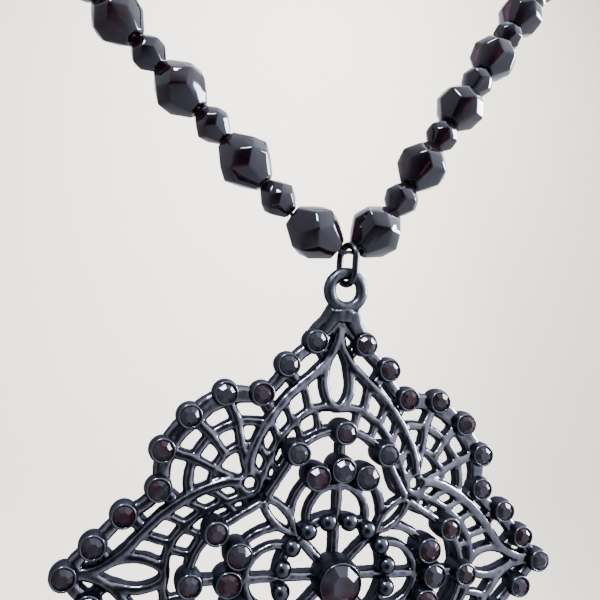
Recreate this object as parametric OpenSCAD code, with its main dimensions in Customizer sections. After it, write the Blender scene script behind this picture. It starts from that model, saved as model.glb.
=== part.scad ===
// Statement necklace: a strand of alternating large and small faceted beads,
// a wire link, and a pierced diamond-on-point pendant set with faceted stones.
// The origin is the nape, at the middle of the clasp. +Z is up, -Y is the front.

/* [Beads] */
// Width of a large bead across its equator corners
large_d = 6.3; // [5.6:0.1:6.6]
// Length of a large bead along the thread
large_l = 5.95; // [5.6:0.05:6.1]
// Width of a small bead across its equator corners
small_d = 4.2; // [3.8:0.1:4.4]
// Length of a small bead along the thread
small_l = 3.95; // [3.7:0.05:4.05]
// Diameter of the hole through each bead
bead_bore_d = 1.0; // [0.9:0.05:1.2]
// Diameter of the thread
thread_d = 0.45; // [0.3:0.05:0.5]
// Clearance that each bead keeps from its neighbour, at the least
bead_gap = 0.2; // [0.18:0.01:0.22]

/* [Loop] */
// How far the lowest point of the strand lies right of the nape
drop_x = 7; // [0:1:9]
// How far the lowest point of the strand lies in front of the nape
drop_y = 112; // [108:1:116]
// How far the lowest point of the strand lies below the nape
drop_z = 128; // [124:1:132]
// Half of the loop's width at the sides of the neck
side_x = 64; // [62:1:66]
// How far the loop's widest place lies in front of the nape
side_y = 52; // [48:1:56]
// How far the loop's widest place lies below the nape
side_z = 20; // [16:1:24]
// Slope of the left strand above the pendant, from the horizontal
slope_left = 45; // [42:1:50]
// Slope of the right strand above the pendant, from the horizontal
slope_right = 59; // [54:1:62]

/* [Clasp] */
// Length of the clasp barrel
clasp_l = 12; // [10:0.5:13]
// Diameter of the clasp barrel
clasp_d = 4.2; // [3.6:0.1:5]

/* [Link] */
// Wire diameter of the link
link_wire = 0.75; // [0.6:0.05:0.8]
// Width of the link between the middles of its wire
link_w = 2.6; // [2.55:0.05:2.7]
// How far the link is turned about the vertical
link_turn = 110; // [104:1:111]

/* [Pendant] */
// Distance from the pendant's middle to the stone on a tip
tip_r = 26; // [25.5:0.1:26.5]
// Thickness of the pierced plate
plate_t = 1.4; // [1.2:0.1:1.5]
// How far the plate rises from its border to its middle
dome_h = 2.0; // [1.6:0.1:2.2]
// Width of the wires between the gaps
wire = 0.8; // [0.7:0.05:0.85]
// Height of the middle rosette's upper face above the plate's back
rosette_top = 4.4; // [4.2:0.1:4.6]
// Wire diameter of the pendant's ring
ring_wire = 1.25; // [1.1:0.05:1.35]
// Radius of the pendant's ring at the middle of its wire
ring_r = 1.8; // [1.7:0.05:1.9]

/* [Stones] */
// Diameter of a border stone
border_stone_d = 1.9; // [1.7:0.05:2]
// Diameter of an arch stone
arch_stone_d = 1.8; // [1.6:0.05:1.9]
// Diameter of a cluster stone
cluster_stone_d = 2.1; // [1.9:0.05:2.2]
// Diameter of the middle stone
middle_stone_d = 4.0; // [3.6:0.1:4.2]
// Clearance between a stone and its cup
stone_gap = 0.05; // [0.04:0.01:0.08]
// Wall of a stone's cup
cup_wall = 0.28; // [0.22:0.01:0.32]

/* [Hidden] */

black_glass = [0.06, 0.055, 0.065];
gunmetal = [0.17, 0.17, 0.19];
cord_black = [0.08, 0.07, 0.07];

bead_sides = 6;
crown_tilt = 33;
// How far each bead is turned about the thread from the one before
bead_turn = 11;
// The kites cut the equator corners back by this much, so no four facets meet in one point
equator = 0.98;
path_steps = 48;

function polar(r, a) = [r * cos(a), r * sin(a)];
function bezier(p, t) =
  pow(1 - t, 3) * p[0] + 3 * t * pow(1 - t, 2) * p[1] + 3 * t * t * (1 - t) * p[2] + pow(t, 3) * p[3];
function sums(v, i = 0, s = 0) = i >= len(v) ? [s] : concat([s], sums(v, i + 1, s + v[i]));

// The strand: an arc from the link and two Bezier curves a side, to the side of the neck and on to the nape
drop = [drop_x, -drop_y, -drop_z];
function side(s) = [s * side_x, -side_y, -side_z];
// Ways that the strand runs above its lowest point and at its widest place, for side s
lean_back = 0.14;
function rise(s, slope) = [s * cos(slope), lean_back, sin(slope)];
function side_run(s) = [s * 0.1, -0.67, -0.74];
// The arc, along which the first bead of a side leans flatter than the ones above it
arc_r = 8;
arc_turn = 41;
arc_steps = 7;
function arc_point(s, from, turn) = drop + arc_r * [
  s * (sin(from + turn) - sin(from)),
  lean_back * turn * PI / 180,
  cos(from) - cos(from + turn)
];
function arc_end(s, slope) = arc_point(s, slope - arc_turn, arc_turn);
// Lengths of the curves' handles
drop_handle = 50;
front_handle = 46;
back_handle = 32;
nape_handle = 27;
function front_curve(s, slope) = [
  arc_end(s, slope),
  arc_end(s, slope) + drop_handle * rise(s, slope),
  side(s) + front_handle * side_run(s),
  side(s)
];
function back_curve(s) = [
  side(s),
  side(s) - back_handle * side_run(s),
  [s * (clasp_l / 2 + nape_handle), 0, 0],
  [s * clasp_l / 2, 0, 0]
];
function strand_points(s, slope) = concat(
  [for (i = [0 : arc_steps]) arc_point(s, slope - arc_turn, i * arc_turn / arc_steps)],
  [for (i = [1 : path_steps]) bezier(front_curve(s, slope), i / path_steps)],
  [for (i = [1 : path_steps]) bezier(back_curve(s), i / path_steps)],
  [[0, 0, 0]]
);
function lengths(pts) = sums([for (i = [1 : len(pts) - 1]) norm(pts[i] - pts[i - 1])]);
// The point at distance d along a strand
function along(pts, at, d) =
  [for (k = [0 : 2]) lookup(d, [for (i = [0 : len(pts) - 1]) [at[i], pts[i][k]]])];

left_points = strand_points(-1, slope_left);
right_points = strand_points(1, slope_right);
left_at = lengths(left_points);
right_at = lengths(right_points);

// Length of bare thread between the strand's lowest point and the first bead
bare_thread = 1.3;
// Extra clearance above the first bead, where the strand bends most
bend_room = 0.15;
// Length of the first few beads of a strand, which begin with a large one and take turns
function strung(count) = ceil(count / 2) * large_l + floor(count / 2) * small_l;
function room(at) = at[len(at) - 1] - bare_thread - bend_room - clasp_l / 2;
// The most beads that fit between the lowest point and the clasp
function beads(at, count = 0) =
  strung(count + 1) + (count + 1) * bead_gap > room(at) ? count : beads(at, count + 1);
function gap(at) = (room(at) - strung(beads(at))) / beads(at);
function is_large(i) = i % 2 == 0;
function bead_l(i) = is_large(i) ? large_l : small_l;
function bead_d(i) = is_large(i) ? large_d : small_d;
function bead_at(at, i) = bare_thread + strung(i) + i * gap(at) + bead_l(i) / 2 + (i > 0 ? bend_room : 0);

function unit(v) = v / norm(v);
// The two ends of bead i's bore, on the strand
function bore_ends(pts, at, i) =
  [for (e = [-1, 1]) along(pts, at, bead_at(at, i) + e * bead_l(i) / 2)];

// Faceted bead: a six-sided middle with a row of six kites towards each end
module bead(d, l) {
  difference() {
    with_kites(d, l, bead_sides);
    cylinder(h = l + 1, d = bead_bore_d, center = true);
  }
}

// The bead's prism after the first few pairs of kites are cut, each by a tilted slab
module with_kites(d, l, count) {
  if (count == 0) cylinder(h = l, d = d, center = true, $fn = bead_sides);
  else intersection() {
    with_kites(d, l, count - 1);
    rotate([0, 0, count * 360 / bead_sides])
      rotate([0, -crown_tilt, 0])
        cube([equator * d * cos(crown_tilt), 2 * d, 2 * d], center = true);
  }
}

module strand_beads(pts, at) {
  for (i = [0 : beads(at) - 1]) {
    ends = bore_ends(pts, at, i);
    t = unit(ends[1] - ends[0]);
    translate((ends[0] + ends[1]) / 2)
      rotate([0, acos(t[2]), atan2(t[1], t[0])])
        rotate([0, 0, bead_turn * i])
          bead(bead_d(i), bead_l(i));
  }
}

module beads_left() {
  color(black_glass) strand_beads(left_points, left_at);
}

module beads_right() {
  color(black_glass) strand_beads(right_points, right_at);
}

// The thread: one tube through every bead, swept from one end of the clasp round to the other
thread_sides = 6;
// How far the thread runs into the clasp, and where it first bends beside the link
thread_end = 1.5;
thread_bend = 0.5;
function thread_stops(pts, at) = concat(
  [along(pts, at, thread_bend)],
  [for (i = [0 : beads(at) - 1]) each bore_ends(pts, at, i)],
  [for (e = [0, thread_end]) along(pts, at, at[len(at) - 1] - clasp_l / 2 + e)]
);
function backwards(v) = [for (i = [len(v) - 1 : -1 : 0]) v[i]];
thread_route = concat(
  backwards(thread_stops(left_points, left_at)),
  [drop],
  thread_stops(right_points, right_at)
);
loop_middle = drop / 2;
function thread_ring(i) =
  let (
    route = thread_route,
    last = len(route) - 1,
    t = unit(route[min(i + 1, last)] - route[max(i - 1, 0)]),
    n = unit(cross(t, route[i] - loop_middle)),
    b = cross(n, t)
  )
  [for (k = [0 : thread_sides - 1])
    let (a = k * 360 / thread_sides) route[i] + thread_d / 2 * (cos(a) * n + sin(a) * b)];
module thread() {
  rings = len(thread_route);
  points = [for (i = [0 : rings - 1]) each thread_ring(i)];
  skin = [for (i = [0 : rings - 2], k = [0 : thread_sides - 1])
    let (a = i * thread_sides + k, b = i * thread_sides + (k + 1) % thread_sides)
    [a, b, b + thread_sides, a + thread_sides]];
  start = [for (k = [thread_sides - 1 : -1 : 0]) k];
  finish = [for (k = [0 : thread_sides - 1]) (rings - 1) * thread_sides + k];
  color(cord_black) polyhedron(points, concat(skin, [start, finish]));
}

// The clasp: a plain closed barrel with a blind hole for the thread in each end
module clasp() {
  edge = 0.8;
  hole_d = thread_d + 0.3;
  hole_l = thread_end + 0.5;
  r = clasp_d / 2;
  h = clasp_l / 2 - 0.1;
  color(gunmetal)
    rotate([0, 90, 0])
      difference() {
        rotate_extrude()
          polygon([[0, -h], [r - edge, -h], [r, -h + edge], [r, h - edge], [r - edge, h], [0, h]]);
        for (s = [-1, 1]) translate([0, 0, s * h]) cylinder(h = 2 * hole_l, d = hole_d, center = true);
      }
}

// The link: an oval of wire that hangs on the thread and carries the pendant's ring
link_l = 4.2;
contact_gap = 0.12;
link_top = drop[2] + thread_d / 2 + link_wire / 2 + contact_gap;
link_low = link_top - link_l;
module link() {
  straight = link_l - link_w;
  color(gunmetal)
    translate([drop_x, -drop_y, (link_top + link_low) / 2])
      rotate([0, 0, link_turn])
        rotate([90, 0, 0])
          for (s = [0, 180]) rotate([0, 0, s]) {
            translate([0, straight / 2])
              rotate_extrude(angle = 180) translate([link_w / 2, 0]) circle(d = link_wire);
            translate([link_w / 2, 0])
              rotate([90, 0, 0]) cylinder(h = straight + 0.01, d = link_wire, center = true);
          }
}

// The pendant's own frame: x to the right, y up and z to the front, with its middle at the origin
ring_y = 29.2;
ring_z = 2.29;
pivot = [drop_x, -drop_y, link_low + link_wire / 2 + ring_wire / 2 + contact_gap];
module on_pendant() {
  translate([pivot[0], pivot[1] + ring_z, pivot[2] - ring_r - ring_y])
    rotate([90, 0, 0])
      children();
}

// The plate is level within plateau_r and beyond border_r, and falls evenly between them
plateau_r = 12;
border_r = 22;

// Border stones of one eighth, from the tip to the diagonal: across and along the tip's axis
BORDER = [
  // across, along
  [2.8, 23.6],
  [5.7, 21.0],
  [8.2, 17.9],
  [12.0, 17.8],
  [15.4, 15.4]
];
module each_quarter() {
  for (a = [0 : 90 : 270]) rotate([0, 0, a]) children();
}
module each_eighth() {
  each_quarter() for (m = [0, 1]) mirror([m, 0, 0]) children();
}
function quarter_border() = concat(
  [for (i = [0 : 4]) BORDER[i]],
  [for (i = [3 : -1 : 0]) [BORDER[i][1], BORDER[i][0]]]
);
function cup_r(stone_d) = stone_d / 2 + stone_gap + cup_wall;
border_cup_r = cup_r(border_stone_d);

// Rounded gap between four limits of a band, as twelve points; s runs across the band and t along it
function soft(c) = sign(c) * pow(abs(c), 0.6);
function gap_shape(s, t) = [for (a = [0 : 30 : 330]) [
  (s[0] + s[1]) / 2 + (s[1] - s[0]) / 2 * soft(cos(a)),
  (t[0] + t[1]) / 2 + (t[1] - t[0]) / 2 * soft(sin(a))
]];

// Fan of net on each diagonal: rings of gaps round a hub
fan_hub = 9;
FAN = [
  // inner radius, outer radius, first angle, last angle, gaps
  [0.7, 3.4, 2, 88, 1],
  [3.4, 6.1, -12, 102, 4],
  [6.1, 8.2, -7, 97, 3]
];
module fan_gaps() {
  for (row = FAN)
    for (i = [0 : row[4] - 1]) {
      turn = (row[3] - row[2]) / row[4];
      middle_r = (row[0] + row[1]) / 2;
      inset = wire / 2 / middle_r * 180 / PI;
      from = row[2] + i * turn + inset;
      polygon([for (p = gap_shape([row[0] + wire / 2, row[1] - wire / 2], [from, from + turn - 2 * inset]))
        [fan_hub, fan_hub] + polar(p[0], p[1])]);
    }
}

// Pointed arch on each tip: gaps between the rosette's lobe and the long rail of the arch
lobe_y = 8.2;
lobe_r = 6.4;
rail_x = -4.7;
rail_y = 9.2;
rail_r = 13.35;
rail_apex = acos(-rail_x / rail_r);
function on_rail(t) = [rail_x, rail_y] + polar(rail_r - wire / 2, rail_apex * (1 - t));
function on_lobe(t) = [0, lobe_y] + polar(lobe_r + wire / 2, 90 - 85 * t);
function in_arch(s, t) = on_lobe(t) * (1 - s) + on_rail(t) * s;
ARCH = [
  // inner edge and outer edge across the arch, first place and last place along it, gaps
  [0.02, 0.20, 0.03, 0.67, 2],
  [0.32, 0.56, 0.16, 0.76, 2],
  [0.66, 0.98, 0.14, 0.40, 1]
];
module arch_gaps() {
  for (row = ARCH)
    for (i = [0 : row[4] - 1]) {
      step = (row[3] - row[2]) / row[4];
      from = row[2] + i * step + 0.035;
      polygon([for (p = gap_shape([row[0], row[1]], [from, from + step - 0.07])) in_arch(p[0], p[1])]);
    }
}

// Almond gap in the middle of each arch, between two arcs
almond_low = 16.7;
almond_high = 21.8;
almond_half_w = 0.95;
module almond_gap() {
  half = (almond_high - almond_low) / 2;
  r = (half * half + almond_half_w * almond_half_w) / (2 * almond_half_w);
  translate([0, (almond_high + almond_low) / 2])
    intersection() {
      translate([r - almond_half_w, 0]) circle(r = r);
      translate([almond_half_w - r, 0]) circle(r = r);
    }
}

// Gaps between a rail and the border, each a rounded spot under a pair of stones
SPOTS = [
  // across, along, half width, half height
  [2.95, 21.7, 0.9, 0.85],
  [5.75, 18.8, 0.75, 0.75]
];
module border_spots() {
  for (s = SPOTS) polygon([for (p = gap_shape([-s[2], s[2]], [-s[3], s[3]])) [s[0] + p[0], s[1] + p[1]]]);
}

module rosette_hole() {
  circle(r = 8);
  each_quarter() translate([0, lobe_y]) circle(r = lobe_r - wire / 4);
}

module plate_outline() {
  polygon([for (q = [0 : 3]) each [for (p = concat(backwards(quarter_border()), [[0, tip_r]]))
    let (a = 90 * q) [p[0] * cos(a) - p[1] * sin(a), p[0] * sin(a) + p[1] * cos(a)]]]);
  each_quarter() {
    translate([0, tip_r]) circle(r = border_cup_r - 0.15);
    for (p = quarter_border()) translate(p) circle(r = border_cup_r - 0.15);
  }
}

module plate_pattern() {
  difference() {
    plate_outline();
    rosette_hole();
    each_quarter() {
      fan_gaps();
      almond_gap();
    }
    each_eighth() {
      arch_gaps();
      border_spots();
    }
  }
}

// The domed sheet that the plate is cut from
module plate_sheet() {
  out = tip_r + 4;
  rotate_extrude()
    polygon([
      [0, plate_t + dome_h], [plateau_r, plate_t + dome_h], [border_r, plate_t], [out, plate_t],
      [out, 0], [border_r, 0], [plateau_r, dome_h], [0, dome_h]
    ]);
}

module plate() {
  intersection() {
    linear_extrude(height = plate_t + dome_h + 1) plate_pattern();
    plate_sheet();
  }
}

// Rosette: four lobes of wire round a ring of balls, with spokes to the middle cup
ball_ring_r = 5.7;
ball_d = 1.9;
ball_count = 16;
inner_arc_y = 6.0;
inner_arc_r = 4.95;
strut_end_r = 11.4;
fine_wire = 0.75 * wire;
middle_cup_r = cup_r(middle_stone_d);
module ring_sector(r, w, from, to) {
  intersection() {
    difference() {
      circle(r = r + w / 2);
      circle(r = r - w / 2);
    }
    polygon(concat([[0, 0]], [for (k = [0 : 3]) polar(3 * r, from + k * (to - from) / 3)]));
  }
}
module bar(from, to, w) {
  d = to - from;
  translate(from) rotate([0, 0, atan2(d[1], d[0])]) translate([0, -w / 2]) square([norm(d), w]);
}
module rosette_pattern() {
  ring_sector(ball_ring_r, wire, 0, 360);
  each_quarter() {
    translate([0, lobe_y]) ring_sector(lobe_r, wire, -14, 194);
    translate([0, inner_arc_y]) ring_sector(inner_arc_r, wire, -8, 188);
    bar([0, inner_arc_y + inner_arc_r], [0, lobe_y + lobe_r], wire);
    bar([0, ball_ring_r], [0, inner_arc_y + inner_arc_r], fine_wire);
    bar(polar(ball_ring_r, 45), polar(strut_end_r, 45), wire);
  }
  for (a = [0 : 45 : 315]) bar(polar(middle_cup_r - cup_wall, a), polar(ball_ring_r, a), fine_wire);
}

// Rosette stones of one quarter: across, along, and 1 for a cluster stone or 0 for an arch stone
ROSETTE = [
  [0, 10.9, 1],
  [-2.65, 10.1, 1],
  [2.65, 10.1, 1],
  [0, 14.6, 0],
  [-4.8, 12.45, 0],
  [4.8, 12.45, 0]
];
cup_rise = 1.0;
cup_depth = 0.75;
border_cup_top = plate_t + cup_rise;
rosette_cup_top = rosette_top + cup_rise;
middle_cup_top = rosette_cup_top + 0.4;
// The feet of the cups, sunk into what carries them
rosette_low = rosette_top - plate_t;
border_cup_low = 0.3;
rosette_cup_low = rosette_low - 0.6;
// How far the middles of the balls stand above the rosette's upper face
ball_rise = 0.25;
neck_d = 2.2;
neck_l = 3.2;
neck_z = ring_z / 2;

module cup(r, foot, top) {
  translate([0, 0, foot]) cylinder(h = top - foot, r = r);
}
module seat(r, top) {
  translate([0, 0, top - cup_depth]) cylinder(h = cup_depth + 1, r = r - cup_wall);
}
module border_places() {
  each_quarter() for (p = quarter_border()) translate(p) children();
  for (a = [90 : 90 : 270]) rotate([0, 0, a]) translate([0, tip_r]) children();
}

module each_rosette_place() {
  each_quarter() for (s = ROSETTE) translate([s[0], s[1]]) {
    $stone = s[2] == 1 ? cluster_stone_d : arch_stone_d;
    children();
  }
}

module balls() {
  for (i = [0 : ball_count - 1])
    rotate([0, 0, (i + 0.5) * 360 / ball_count])
      translate([ball_ring_r, 0, rosette_top + ball_rise])
        sphere(d = ball_d);
}

module ring_and_neck() {
  translate([0, ring_y, ring_z]) rotate_extrude() translate([ring_r, 0]) circle(d = ring_wire);
  translate([0, ring_y - ring_r - neck_l + ring_wire / 2, neck_z])
    rotate([-90, 0, 0]) cylinder(h = neck_l, d = neck_d);
}

module pendant_casting() {
  color(gunmetal)
    on_pendant()
      difference() {
        union() {
          plate();
          translate([0, 0, rosette_low]) linear_extrude(height = plate_t) rosette_pattern();
          border_places() cup(border_cup_r, border_cup_low, border_cup_top);
          each_rosette_place() cup(cup_r($stone), rosette_cup_low, rosette_cup_top);
          cup(middle_cup_r, rosette_low, middle_cup_top);
          balls();
          ring_and_neck();
        }
        border_places() seat(border_cup_r, border_cup_top);
        each_rosette_place() seat(cup_r($stone), rosette_cup_top);
        seat(middle_cup_r, middle_cup_top);
      }
}

// Cut stone: an eight-sided girdle, eight crown and eight lower facets, a table and a small foot
crown_slope = 42;
module cut_stone(d, top) {
  flat_r = d / 2 * cos(22.5);
  half_h = 0.28 * d;
  girdle = 0.05 * d;
  slab = 2 * (flat_r * sin(crown_slope) + girdle * cos(crown_slope));
  translate([0, 0, top - cup_depth + stone_gap + half_h])
    intersection() {
      rotate([0, 0, 22.5]) cylinder(h = 2 * half_h, d = d, center = true, $fn = 8);
      intersection_for (a = [0 : 45 : 315])
        rotate([0, 0, a]) rotate([0, crown_slope - 90, 0]) cube([slab, 3 * d, 3 * d], center = true);
    }
}

module border_stones() {
  color(black_glass) on_pendant() border_places() cut_stone(border_stone_d, border_cup_top);
}

module rosette_stones() {
  color(black_glass) on_pendant()
    each_rosette_place() cut_stone($stone, rosette_cup_top);
}

module middle_stone() {
  color(black_glass) on_pendant() cut_stone(middle_stone_d, middle_cup_top);
}

beads_left();
beads_right();
thread();
clasp();
link();
pendant_casting();
border_stones();
rosette_stones();
middle_stone();
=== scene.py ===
"""Statement necklace: the looks of its beads, thread, clasp, link and pierced pendant."""

import math
import random
from itertools import combinations

import bmesh
import bpy
import numpy as np
from mathutils import Matrix, Vector


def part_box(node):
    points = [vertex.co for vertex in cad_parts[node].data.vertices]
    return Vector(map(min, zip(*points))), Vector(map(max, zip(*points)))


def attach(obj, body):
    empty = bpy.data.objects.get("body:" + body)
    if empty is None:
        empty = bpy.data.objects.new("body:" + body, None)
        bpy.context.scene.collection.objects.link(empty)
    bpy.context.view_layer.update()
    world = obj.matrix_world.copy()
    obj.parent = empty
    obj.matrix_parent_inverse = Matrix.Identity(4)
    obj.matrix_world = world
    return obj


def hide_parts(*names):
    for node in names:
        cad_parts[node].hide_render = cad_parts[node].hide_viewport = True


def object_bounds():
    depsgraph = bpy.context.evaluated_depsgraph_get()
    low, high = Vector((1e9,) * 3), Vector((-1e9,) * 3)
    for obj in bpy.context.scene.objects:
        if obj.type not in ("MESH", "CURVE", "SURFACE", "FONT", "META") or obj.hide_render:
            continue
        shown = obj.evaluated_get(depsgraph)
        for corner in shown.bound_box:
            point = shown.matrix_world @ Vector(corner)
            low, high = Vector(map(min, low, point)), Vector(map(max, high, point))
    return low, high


bl_info = {
    "name": "Statement Necklace",
    "version": (1, 0, 0),
    "blender": (4, 5, 0),
    "location": "3D View > Sidebar > Necklace",
    "description": "Makes a necklace of faceted glass beads with a pierced pendant",
    "category": "Add Mesh",
}

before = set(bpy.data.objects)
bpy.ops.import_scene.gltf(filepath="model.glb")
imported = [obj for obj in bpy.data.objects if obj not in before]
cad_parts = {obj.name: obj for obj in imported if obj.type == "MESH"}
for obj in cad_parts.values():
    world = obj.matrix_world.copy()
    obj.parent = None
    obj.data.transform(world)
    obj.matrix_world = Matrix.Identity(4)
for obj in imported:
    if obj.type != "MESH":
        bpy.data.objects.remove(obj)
CAD_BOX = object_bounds()
MM = 0.001
# Most triangles of a fused piece
MOST_TRIANGLES = 190000

# All lengths and points from here to the small helpers are in millimetres

# Beads: width over the corners and length, and the bore of both sizes
LARGE_BEAD = (6.3, 5.95)
SMALL_BEAD = (4.2, 3.95)
BORE = 1.0

# The link: its wire, its width between the middles of the wire, and how deep the thread lies under its top
LINK_WIRE, LINK_WIDTH, LINK_HANG = 0.75, 2.6, 0.87
LINK_TURN = math.radians(110)

# The pendant's own frame has x to the right, y up and z to the front, from the middle of its back

# The hub of one corner's fan
FAN_HUB = (9.0, 9.0)

# The spots of the cups of one eighth, and that of a tip's cup
SPOTS = {
    "border": [(2.8, 23.6), (5.7, 21.0), (8.2, 17.9), (12.0, 17.8), (15.4, 15.4)],
    "arch": [(0.0, 14.6), (4.8, 12.45)],
    "cluster": [(0.0, 10.9), (2.65, 10.1)],
}
TIP_SPOT = (0.0, 26.0)

# Cups of each kind: radius, foot and top of the cup, and diameter of its stone
CUPS = {"border": (1.36, 0.1, 2.5, 1.95), "arch": (1.32, 2.2, 5.45, 1.85), "cluster": (1.42, 2.2, 5.5, 2.15)}
MIDDLE_CUP = (2.35, 2.7, 6.6, 4.0)

# The balls round the middle stone: how many, their radius, and the radius and height of their circle
BALLS, BALL, BALL_RING, BALL_HEIGHT = 16, 0.95, 5.7, 4.65

# The pendant's ring, a little thicker than the solid's: its wire, the solid's wire, the radius of its
# middle and its height over the back
RING_WIRE, SOLID_WIRE, RING_REACH, RING_HEIGHT = 1.33, 1.25, 1.83, 2.29

# Heights of the wires' upper sides
BORDER_TOP, ROSETTE_TOP = 1.7, 4.4


def net_top(x, y):
    """Height of the net's upper side: it falls from level in its middle to level at the border."""
    border, rise, outer, slope = 1.4, 2.0, 22, 10
    return border + rise * min(1, max(0, (outer - math.hypot(x, y)) / slope))


def roof_top(x, y):
    """Height of the roof's upper side, which rises from the border to the ring."""
    foot, start, slope = 1.75, 24, 0.38
    return foot + max(0, y - start) * slope


def on_circle(centre, radius, start, end, count):
    """Points on a circle from one angle to another, in degrees."""
    angles = [math.radians(start + (end - start) * i / (count - 1)) for i in range(count)]
    return [(centre[0] + radius * math.cos(a), centre[1] + radius * math.sin(a)) for a in angles]


def fan(radius, angle):
    """A point of a fan, from its hub."""
    return on_circle(FAN_HUB, radius, angle, angle, 2)[0]


# Wires of one eighth, each mirrored and turned to all four tips: width, lift and points
ARCH_WIRES = [
    # rail from the tip down to the hub of the fan
    (0.85, 0.35, [(0, 25.2), (0.3, 23.5), (1.15, 21.8), (2.4, 20.4), (4.1, 18.95), (5.6, 17.5),
                  (6.8, 16.0), (7.8, 14.5), (8.6, 12.9), (9.1, 11.3), (9.2, 9.9)]),
    # side of the drop-shaped gap
    (0.8, 0.15, [(0.15, 24.2), (0.75, 22.6), (1.3, 21.0), (1.5, 19.4), (1.25, 18.0), (0.65, 17.0),
                 (0, 16.6)]),
    # second arc over the lobe
    (0.7, 0.1, [(0, 16.6), (1.3, 16.75), (2.9, 16.35), (4.5, 15.3), (5.9, 13.7), (7.0, 11.7), (7.7, 9.9),
                (8.1, 8.6)]),
    # foot of the lobe, down to the corner
    (0.7, 0.0, on_circle((0, 8.2), 6.4, 90, 12, 8) + [(6.75, 8.55), (7.8, 7.8)]),
    # bars from the rail to the second arc
    (0.65, 0.1, [(3.75, 19.3), (3.4, 17.9), (3.05, 16.4)]),
    (0.6, 0.1, [(5.7, 17.4), (5.35, 16.2), (4.8, 15.1)]),
    (0.6, 0.1, [(7.1, 15.6), (6.8, 14.6), (6.3, 13.2)]),
    (0.6, 0.1, [(8.3, 13.6), (7.9, 12.3), (7.2, 11.1)]),
    (0.55, 0.1, [(9.1, 11.2), (8.5, 10.2), (7.8, 9.4)]),
    # bars from the second arc to the lobe
    (0.6, 0.0, [(2.45, 16.5), (2.15, 15.4), (2.05, 14.3)]),
    (0.55, 0.0, [(4.5, 15.3), (4.15, 14.3), (3.75, 13.3)]),
    (0.55, 0.0, [(6.0, 13.6), (5.6, 12.7), (5.1, 12.0)]),
    (0.55, 0.0, [(7.1, 11.5), (6.6, 10.8), (6.05, 10.3)]),
    (0.55, 0.0, [(7.7, 9.7), (7.0, 9.3), (6.35, 8.9)]),
    # legs under the border's cups
    (0.95, 0.0, [(2.8, 23.6), (1.9, 22.8), (1.1, 21.9)]),
    (1.05, 0.0, [(5.7, 21.0), (5.0, 19.9), (4.3, 18.9)]),
    (1.05, 0.0, [(8.2, 17.9), (7.5, 16.9), (6.9, 16.0)]),
]

# Border wires of one eighth
BORDER_WIRES = [
    (1.05, 0.0, [(0, 25.8), (1.5, 24.8), (2.7, 23.4), (4.15, 22.2), (5.5, 20.8), (6.5, 19.1), (8.1, 17.7),
                 (10.1, 17.85), (11.9, 17.6), (13.7, 16.7), (15.3, 15.3)]),
    (0.85, 0.0, [(7.9, 17.4), (10.2, 17.3), (11.7, 16.9), (13.3, 16.1), (14.7, 14.7)]),
]

# Wires of one fan, mirrored into all four corners
FAN_WIRES = [
    # ring round the hub's own gap, and the two arcs
    (0.55, 0.1, on_circle(FAN_HUB, 0.95, 0, 360, 13)),
    (0.7, 0.0, on_circle(FAN_HUB, 3.7, -14, 104, 13)),
    (0.75, 0.05, on_circle(FAN_HUB, 6.05, -13, 103, 15)),
    # bars of the inner row
    (0.65, 0.1, [fan(0.95, 72), fan(2.2, 73), fan(3.7, 74)]),
    (0.65, 0.1, [fan(0.95, 14), fan(2.2, 16), fan(3.7, 17)]),
    # bars of the middle row
    (0.7, 0.2, [fan(3.7, 74), fan(4.9, 75), fan(6.05, 76)]),
    (0.7, 0.2, [fan(3.7, 46), fan(4.9, 47), fan(6.05, 48)]),
    (0.7, 0.2, [fan(3.7, 18), fan(4.9, 20), fan(6.05, 21)]),
    # bars of the outer row, out to the border's cups
    (0.85, 0.2, [fan(6.05, 76), fan(7.5, 73.5), (12.0, 17.8)]),
    (0.85, 0.2, [fan(6.05, 48), fan(7.5, 46.5), (15.4, 15.4)]),
    (0.85, 0.2, [fan(6.05, 21), fan(7.5, 20), (17.8, 12.0)]),
]

# Wires of one eighth of the rosette
ROSETTE_WIRES = [
    # outer arc of the lobe, and the rod from its side cup down to the corner
    (0.6, 0.0, on_circle((0, 8.2), 6.4, 90, 41, 6)),
    (0.6, 0.1, [(4.8, 12.45), (5.7, 10.9), (6.6, 9.4), (7.5, 8.0)]),
    # arc of the cluster, with the hook that goes on from it
    (0.68, 0.0, on_circle((0, 6.0), 4.95, 90, 2, 9)),
    # rod from the corner to the ring of balls
    (0.6, 0.1, [(7.6, 7.9), (6.4, 7.35), (5.4, 6.5), (4.7, 5.5), (4.3, 4.2)]),
    # bridge under the cluster, and its rod down to the ring of balls
    (0.62, 0.0, [(0, 9.05), (1.1, 8.95), (2.15, 8.35), (2.85, 7.4), (3.2, 6.3), (3.1, 4.8)]),
    # posts
    (0.75, 0.0, [(0, 14.6), (0, 12.7), (0, 10.9)]),
    (0.7, 0.0, [(0, 10.9), (0, 8.0), (0, 5.7)]),
    (0.7, 0.0, [(2.65, 10.1), (2.4, 9.2), (2.1, 8.4)]),
    # ring of balls and spokes
    (0.9, -0.1, on_circle((0, 0), BALL_RING, 90, 44, 5)),
    (0.75, -0.2, [(0, 1.9), (0, 3.8), (0, 5.7)]),
    (0.75, -0.2, [(1.35, 1.35), (2.7, 2.7), (4.03, 4.03)]),
]

# One side of the roof of wires over the top tip, from its first cup up to the ring
ROOF_WIRES = [
    (1.3, 0.0, [(2.8, 23.7), (2.2, 24.8), (1.4, 25.8), (0.85, 27.1)]),
    (1.15, 0.1, [(0.3, 26.1), (0.35, 26.7), (0.5, 27.3)]),
]

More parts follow.
